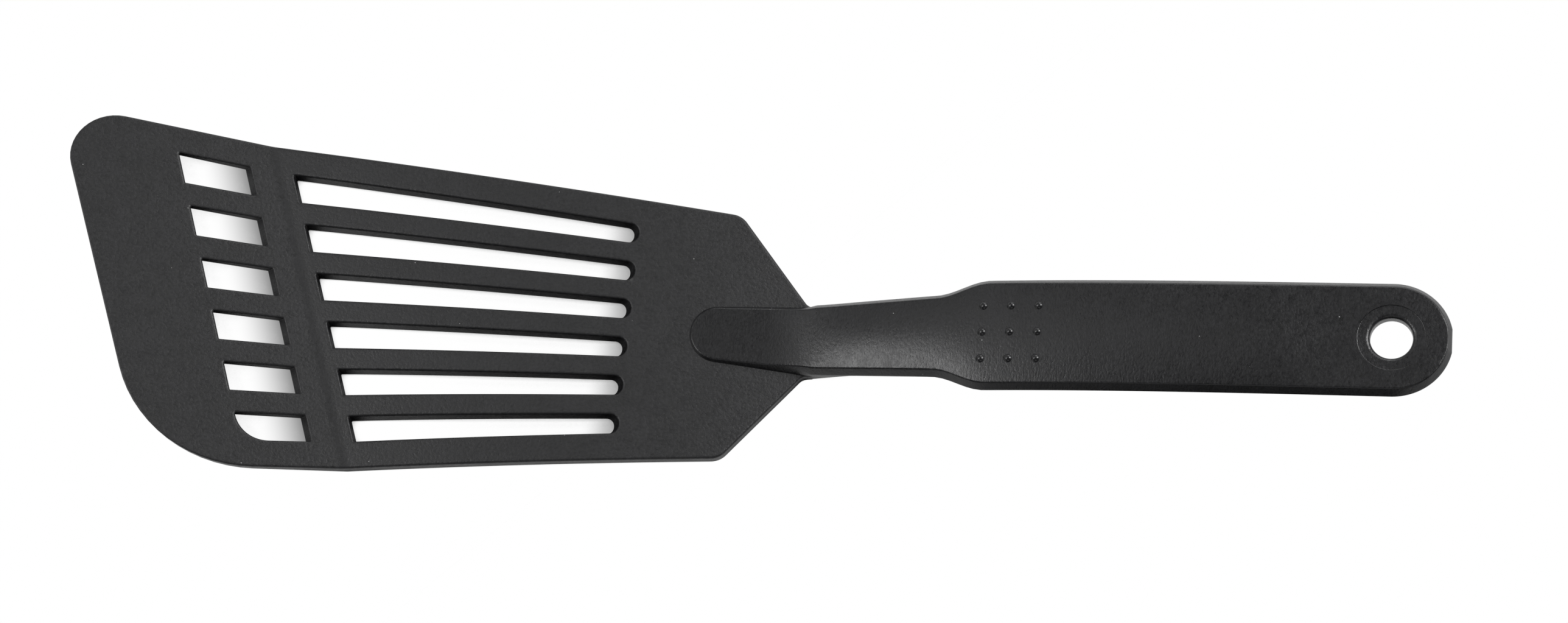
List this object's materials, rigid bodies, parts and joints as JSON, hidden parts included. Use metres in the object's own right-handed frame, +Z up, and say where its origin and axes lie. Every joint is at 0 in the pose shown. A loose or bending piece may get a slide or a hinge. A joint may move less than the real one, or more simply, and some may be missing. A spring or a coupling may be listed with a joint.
{
  "type": "slotted spatula",
  "caption": "Black nylon slotted turner: thin arched blade with a fan of drain slots and a bent-up skewed front, on a slim rising handle with thumb studs and a hanging hole.",
  "frame": {"origin": "middle of the turner's box from above, on the surface that the blade rests on", "axes": "+X from the blade's front edge to the handle's tail, +Y to the blade's far side, the side with the longer front corner, +Z up out of the blade's top face"},
  "size_m": [0.3278, 0.085, 0.0355],
  "materials": {
    "blade_nylon": "fine moulded grain, matte",
    "handle_nylon": "fine moulded grain, satin along the neck",
    "dot_gloss": "smooth gloss"
  },
  "bodies": {
    "root": {"blade": "blade_nylon", "handle": "handle_nylon", "thumb_dot_row1_col1": "dot_gloss", "thumb_dot_row1_col2": "dot_gloss", "thumb_dot_row1_col3": "dot_gloss", "thumb_dot_row2_col1": "dot_gloss", "thumb_dot_row2_col2": "dot_gloss", "thumb_dot_row2_col3": "dot_gloss", "thumb_dot_row3_col1": "dot_gloss", "thumb_dot_row3_col2": "dot_gloss", "thumb_dot_row3_col3": "dot_gloss"}
  },
  "joints": []
}
